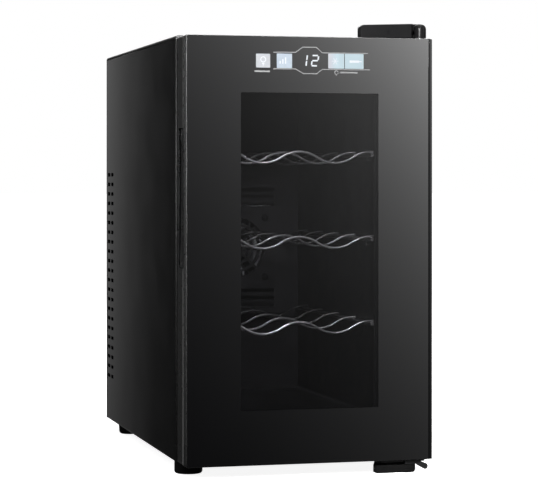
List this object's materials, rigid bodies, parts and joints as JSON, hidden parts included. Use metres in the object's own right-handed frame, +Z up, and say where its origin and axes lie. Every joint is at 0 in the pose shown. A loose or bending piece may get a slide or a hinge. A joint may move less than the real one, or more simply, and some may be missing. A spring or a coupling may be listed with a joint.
{
  "type": "thermoelectric wine cooler",
  "caption": "Free-standing countertop wine cooler: black steel cabinet, smoked glass door hinged on the right, wavy wire racks, touch panel and a thermoelectric unit behind.",
  "frame": {"origin": "middle of the footprint, on the floor under the feet", "axes": "+Z up, the door faces -Y, +X to the right as seen from the front, where the hinge is"},
  "size_m": [0.2688, 0.49, 0.479],
  "materials": {
    "painted_steel": "satin black paint",
    "pan_steel": "black paint",
    "trim_plastic": "fine moulded texture",
    "liner_plastic": "smooth black moulding",
    "foam": "rigid foam",
    "galvanised": "zinc plated",
    "cover_plastic": "grained",
    "rubber_black": "matt",
    "screw_steel": "zinc plated",
    "aluminium": "extruded",
    "fan_plastic": "moulded",
    "rotor_plastic": "moulded",
    "ceramic": "ceramic white",
    "closed_cell": "closed cell foam rubber",
    "circuit_board": "lacquered laminate",
    "socket_plastic": "moulded",
    "lens_plastic": "clear frosted",
    "sensor_plastic": "moulded",
    "wire_jacket": "insulated leads",
    "hinge_steel": "blackened steel",
    "pin_steel": "ground",
    "hinge_plastic": "moulded black",
    "tinted_glass": "smoked, black printed border",
    "clear_glass": "low emissivity coated",
    "door_plastic": "moulded black",
    "seal_rubber": "soft matt",
    "magnet": "magnetic strip",
    "display_plastic": "segment display",
    "light_guide": "frosted light guide",
    "nylon": "nylon",
    "chrome_wire": "bright plated"
  },
  "bodies": {
    "cabinet": {"left_side_panel": "painted_steel", "right_side_panel": "painted_steel", "top_panel": "painted_steel", "base_pan": "pan_steel", "front_frame": "trim_plastic", "inner_liner": "liner_plastic", "insulation_foam": "foam", "back_plate": "galvanised", "rear_cover": "cover_plastic", "wall_spacers": "rubber_black", "rear_cover_screws": "screw_steel", "front_left_foot": "rubber_black", "hinge_foot": "rubber_black", "rear_feet": "rubber_black", "foot_screws": "screw_steel", "hot_heatsink": "aluminium", "hot_fan_frame": "fan_plastic", "peltier_module": "ceramic", "module_gasket": "closed_cell", "cold_block": "aluminium", "cold_heatsink": "aluminium", "clamp_screws": "screw_steel", "cold_fan_frame": "fan_plastic", "air_duct_cover": "liner_plastic", "fan_screws": "screw_steel", "power_board": "circuit_board", "power_inlet": "socket_plastic", "lamp_lens": "lens_plastic", "lamp_board": "ceramic", "temperature_sensor": "sensor_plastic", "wiring_loom": "wire_jacket", "top_hinge_bracket": "hinge_steel", "top_hinge_pin": "pin_steel", "top_hinge_cover": "hinge_plastic", "bottom_hinge_bracket": "hinge_steel", "bottom_hinge_pin": "pin_steel", "hinge_screws": "screw_steel"},
    "door": {"outer_glass": "tinted_glass", "door_bezel": "door_plastic", "door_frame": "door_plastic", "inner_glass": "clear_glass", "glazing_spacer": "aluminium", "door_gasket": "seal_rubber", "gasket_magnets": "magnet", "handle_grip": "door_plastic", "handle_screws": "screw_steel", "touch_board": "circuit_board", "digit_display": "display_plastic", "key_light_guides": "light_guide", "hinge_bushings": "nylon"},
    "hot_fan": {"hot_fan_rotor": "rotor_plastic"},
    "cold_fan": {"cold_fan_rotor": "rotor_plastic"},
    "rack_top": {"rack_top_wires": "chrome_wire", "rack_top_rails": "chrome_wire"},
    "rack_middle": {"rack_middle_wires": "chrome_wire", "rack_middle_rails": "chrome_wire"},
    "rack_bottom": {"rack_bottom_wires": "chrome_wire", "rack_bottom_rails": "chrome_wire"}
  },
  "joints": [
    {"name": "door_swing", "type": "hinge", "parent": "cabinet", "child": "door", "pos_m": [0.125, -0.23, 0.238], "axis": [0, 0, 1], "range_deg": [0, 120]},
    {"name": "rack_top_slide", "type": "slide", "parent": "cabinet", "child": "rack_top", "axis": [0, -1, 0], "range_m": [0, 0.024]},
    {"name": "rack_middle_slide", "type": "slide", "parent": "cabinet", "child": "rack_middle", "axis": [0, -1, 0], "range_m": [0, 0.024]},
    {"name": "rack_bottom_slide", "type": "slide", "parent": "cabinet", "child": "rack_bottom", "axis": [0, -1, 0], "range_m": [0, 0.024]},
    {"name": "hot_fan_spin", "type": "hinge", "parent": "cabinet", "child": "hot_fan", "pos_m": [0, 0.21, 0.22], "axis": [0, 1, 0], "continuous": true},
    {"name": "cold_fan_spin", "type": "hinge", "parent": "cabinet", "child": "cold_fan", "pos_m": [0, 0.098, 0.23], "axis": [0, 1, 0], "continuous": true}
  ]
}
